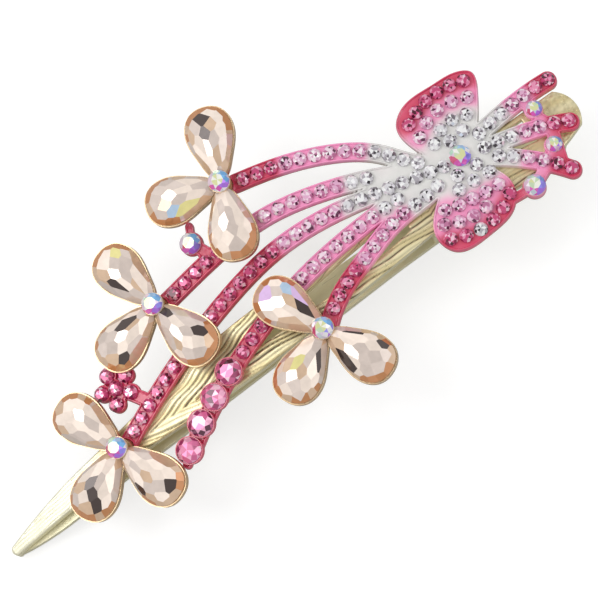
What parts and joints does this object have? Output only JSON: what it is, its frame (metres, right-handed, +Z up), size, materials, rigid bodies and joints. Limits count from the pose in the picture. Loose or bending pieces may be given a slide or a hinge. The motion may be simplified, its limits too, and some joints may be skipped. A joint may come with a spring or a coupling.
{
  "type": "hair clip",
  "caption": "Long spring hair clip with two arched arms, carrying an enamelled spray with bow wings, pear-stone flowers and rows of small round stones.",
  "frame": {"origin": "on the table, under the middle of the clip's box", "axes": "+X from the jaw tip to the thumb plate, +Y towards the side that the spray reaches furthest, +Z up"},
  "size_m": [0.1211, 0.0564, 0.0213],
  "materials": {
    "arm_gold": "polished pale champagne gold plating",
    "cast_gold": "polished pale gold plating",
    "cup_gold": "polished gold plating",
    "steel": "bright spring steel",
    "enamel_rose": "glossy rose enamel",
    "enamel_light_pink": "glossy light pink enamel",
    "enamel_white": "glossy white enamel",
    "pear_crystal": "champagne foil-backed faceted crystal",
    "berry_pink": "pink foil-backed faceted crystal",
    "rainbow_crystal": "iridescent foil-backed faceted crystal",
    "rose_crystal": "rose foil-backed faceted crystal",
    "light_rose_crystal": "light rose foil-backed faceted crystal",
    "clear_crystal": "clear foil-backed faceted crystal"
  },
  "bodies": {
    "lower": {"lower_arm": "arm_gold", "hinge_pin": "steel", "torsion_spring": "steel"},
    "upper": {"berry_cups": "enamel_rose", "berry_stones": "berry_pink", "enamel_light_pink": "enamel_light_pink", "enamel_rose": "enamel_rose", "enamel_white": "enamel_white", "flower_1_cups": "cup_gold", "flower_1_middle_stone": "rainbow_crystal", "flower_2_cups": "cup_gold", "flower_2_middle_stone": "rainbow_crystal", "flower_3_cups": "cup_gold", "flower_3_middle_stone": "rainbow_crystal", "flower_4_cups": "cup_gold", "flower_4_middle_stone": "rainbow_crystal", "hub_stone": "rainbow_crystal", "lower_wing_crystal_stones": "clear_crystal", "lower_wing_light_rose_stones": "light_rose_crystal", "lower_wing_rose_stones": "rose_crystal", "pear_stone_1a": "pear_crystal", "pear_stone_1b": "pear_crystal", "pear_stone_1c": "pear_crystal", "pear_stone_2a": "pear_crystal", "pear_stone_2b": "pear_crystal", "pear_stone_2c": "pear_crystal", "pear_stone_3a": "pear_crystal", "pear_stone_3b": "pear_crystal", "pear_stone_3c": "pear_crystal", "pear_stone_4a": "pear_crystal", "pear_stone_4b": "pear_crystal", "pear_stone_4c": "pear_crystal", "small_flower_stones": "rose_crystal", "spray_casting": "cast_gold", "sprig_stone": "rainbow_crystal", "spring_upper_leg": "steel", "stem_1_crystal_stones": "clear_crystal", "stem_1_light_rose_stones": "light_rose_crystal", "stem_1_rose_stones": "rose_crystal", "stem_2_crystal_stones": "clear_crystal", "stem_2_light_rose_stones": "light_rose_crystal", "stem_2_rose_stones": "rose_crystal", "stem_3_crystal_stones": "clear_crystal", "stem_3_light_rose_stones": "light_rose_crystal", "stem_3_rose_stones": "rose_crystal", "stem_4_crystal_stones": "clear_crystal", "stem_4_light_rose_stones": "light_rose_crystal", "stem_4_rose_stones": "rose_crystal", "stem_5_crystal_stones": "clear_crystal", "stem_5_light_rose_stones": "light_rose_crystal", "stem_5_rose_stones": "rose_crystal", "tail_stones": "rainbow_crystal", "tails_crystal_stones": "clear_crystal", "tails_light_rose_stones": "light_rose_crystal", "tails_rose_stones": "rose_crystal", "top_arm": "arm_gold", "upper_wing_crystal_stones": "clear_crystal", "upper_wing_light_rose_stones": "light_rose_crystal", "upper_wing_rose_stones": "rose_crystal"}
  },
  "joints": [
    {"name": "hinge", "type": "hinge", "parent": "lower", "child": "upper", "pos_m": [0.03, -0.009, 0.0094], "axis": [0, 1, 0], "range_deg": [0, 18], "stiffness_Nm_per_rad": 0.08, "springref_deg": -34.38}
  ]
}
